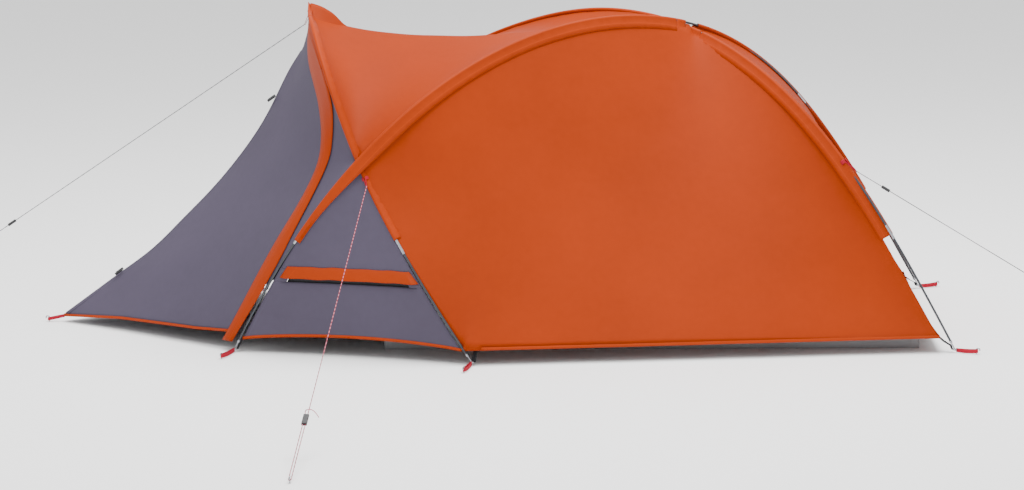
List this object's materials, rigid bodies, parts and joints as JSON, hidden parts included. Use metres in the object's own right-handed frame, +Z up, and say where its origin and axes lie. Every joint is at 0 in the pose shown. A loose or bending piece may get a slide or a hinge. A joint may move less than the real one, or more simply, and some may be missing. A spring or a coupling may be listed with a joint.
{
  "type": "tunnel tent",
  "caption": "Low staked tent: two crossed poles and a leaning front hoop carry a fly sheet over a grey vestibule with zip doors, side vents and an inner sleeping cabin.",
  "frame": {"origin": "on the ground in the middle plane, on the underside of the groundsheet, 0.5 m behind its front edge", "axes": "+X towards the rear of the tent, +Y to the side away from the first view, +Z up"},
  "size_m": [4.0351, 3.5854, 1.2278],
  "materials": {
    "fly_orange": "coated polyester taffeta, slight sheen",
    "sleeve_orange": "coated polyester taffeta",
    "fly_grey": "coated polyester taffeta",
    "mesh_black": "fine knitted mesh",
    "ferrule_metal": "satin",
    "pole_fibreglass": "satin dark grey glass fibre",
    "steel": "polished",
    "webbing_black": "woven",
    "webbing_red": "woven",
    "groundsheet_fabric": "coated woven polyethylene",
    "inner_fabric": "breathable polyester",
    "plastic_black": "matte",
    "cord_red": "braided",
    "cord_dark": "braided"
  },
  "bodies": {
    "tent": {"corner_pegs": "steel", "corner_webbing": "webbing_black", "door_toggles": "plastic_black", "fly_front_canopy": "fly_orange", "fly_rear": "fly_orange", "fly_side_far": "fly_orange", "fly_side_near": "fly_orange", "foot_panel_far": "fly_grey", "foot_panel_near": "fly_grey", "foot_pins": "steel", "foot_rings": "steel", "groundsheet": "groundsheet_fabric", "guy_bands": "webbing_red", "guy_end_loops": "webbing_red", "guy_peg_near": "steel", "guyline_front": "cord_dark", "guyline_near": "cord_red", "guyline_rear": "cord_dark", "hoop_arch": "pole_fibreglass", "hoop_far_leg": "pole_fibreglass", "hoop_ferrules": "ferrule_metal", "hoop_near_leg": "pole_fibreglass", "inner_canopy": "inner_fabric", "inner_front_wall": "inner_fabric", "inner_hangers": "inner_fabric", "peg_loops": "webbing_red", "pole_a_ferrules": "ferrule_metal", "pole_a_front_arch": "pole_fibreglass", "pole_a_front_leg": "pole_fibreglass", "pole_a_rear_arch": "pole_fibreglass", "pole_a_rear_leg": "pole_fibreglass", "pole_b_ferrules": "ferrule_metal", "pole_b_front_arch": "pole_fibreglass", "pole_b_front_leg": "pole_fibreglass", "pole_b_rear_arch": "pole_fibreglass", "pole_b_rear_leg": "pole_fibreglass", "sleeve_a_front": "sleeve_orange", "sleeve_a_rear": "sleeve_orange", "sleeve_b": "sleeve_orange", "sleeve_hoop": "sleeve_orange", "vent_mesh_far": "mesh_black", "vent_mesh_near": "mesh_black", "vestibule_side_far": "fly_grey", "vestibule_side_near": "fly_grey", "zip_flap_far": "fly_orange", "zip_flap_near": "fly_orange"},
    "door_near": {"vestibule_door_near": "fly_grey"},
    "door_far": {"vestibule_door_far": "fly_grey"},
    "vent_flap_near": {"vent_flap_near": "fly_orange"},
    "vent_flap_far": {"vent_flap_far": "fly_orange"},
    "zip_slider_near": {"zip_slider_near": "plastic_black"},
    "zip_slider_far": {"zip_slider_far": "plastic_black"},
    "inner_door": {"inner_door": "inner_fabric"},
    "guy_runner_near": {"guy_runner_near": "plastic_black"},
    "guy_runner_front": {"guy_runner_front": "plastic_black"},
    "guy_runner_rear": {"guy_runner_rear": "plastic_black"}
  },
  "joints": [
    {"name": "door_near_open", "type": "hinge", "parent": "tent", "child": "door_near", "pos_m": [-1.2995, 0, 0.609], "axis": [-0.6484, 0, -0.7613], "range_deg": [0, 95]},
    {"name": "door_far_open", "type": "hinge", "parent": "tent", "child": "door_far", "pos_m": [-1.2995, 0, 0.609], "axis": [0.6484, 0, 0.7613], "range_deg": [0, 95]},
    {"name": "vent_near_open", "type": "hinge", "parent": "tent", "child": "vent_flap_near", "pos_m": [-0.63, -0.69621, 0.338], "axis": [-0.9673, 0.2538, 0], "range_deg": [0, 60]},
    {"name": "vent_far_open", "type": "hinge", "parent": "tent", "child": "vent_flap_far", "pos_m": [-0.63, 0.69621, 0.338], "axis": [0.9673, 0.2538, 0], "range_deg": [0, 60]},
    {"name": "zip_near_slide", "type": "slide", "parent": "tent", "child": "zip_slider_near", "axis": [0.4883, 0.014, 0.8725], "range_m": [0, 0.18]},
    {"name": "zip_far_slide", "type": "slide", "parent": "tent", "child": "zip_slider_far", "axis": [0.4883, -0.014, 0.8725], "range_m": [0, 0.18]},
    {"name": "inner_door_open", "type": "hinge", "parent": "tent", "child": "inner_door", "pos_m": [-0.505, 0.248, 0.39], "axis": [0, 0, -1], "range_deg": [0, 70]},
    {"name": "runner_near_slide", "type": "slide", "parent": "tent", "child": "guy_runner_near", "axis": [-0.0628, -0.9481, -0.3116], "range_m": [0, 0.2]},
    {"name": "runner_front_slide", "type": "slide", "parent": "tent", "child": "guy_runner_front", "axis": [-0.8322, 0, -0.5545], "range_m": [-0.2, 0.015]},
    {"name": "runner_rear_slide", "type": "slide", "parent": "tent", "child": "guy_runner_rear", "axis": [0.8342, -0.2646, -0.4839], "range_m": [-0.05, 0.2]}
  ]
}
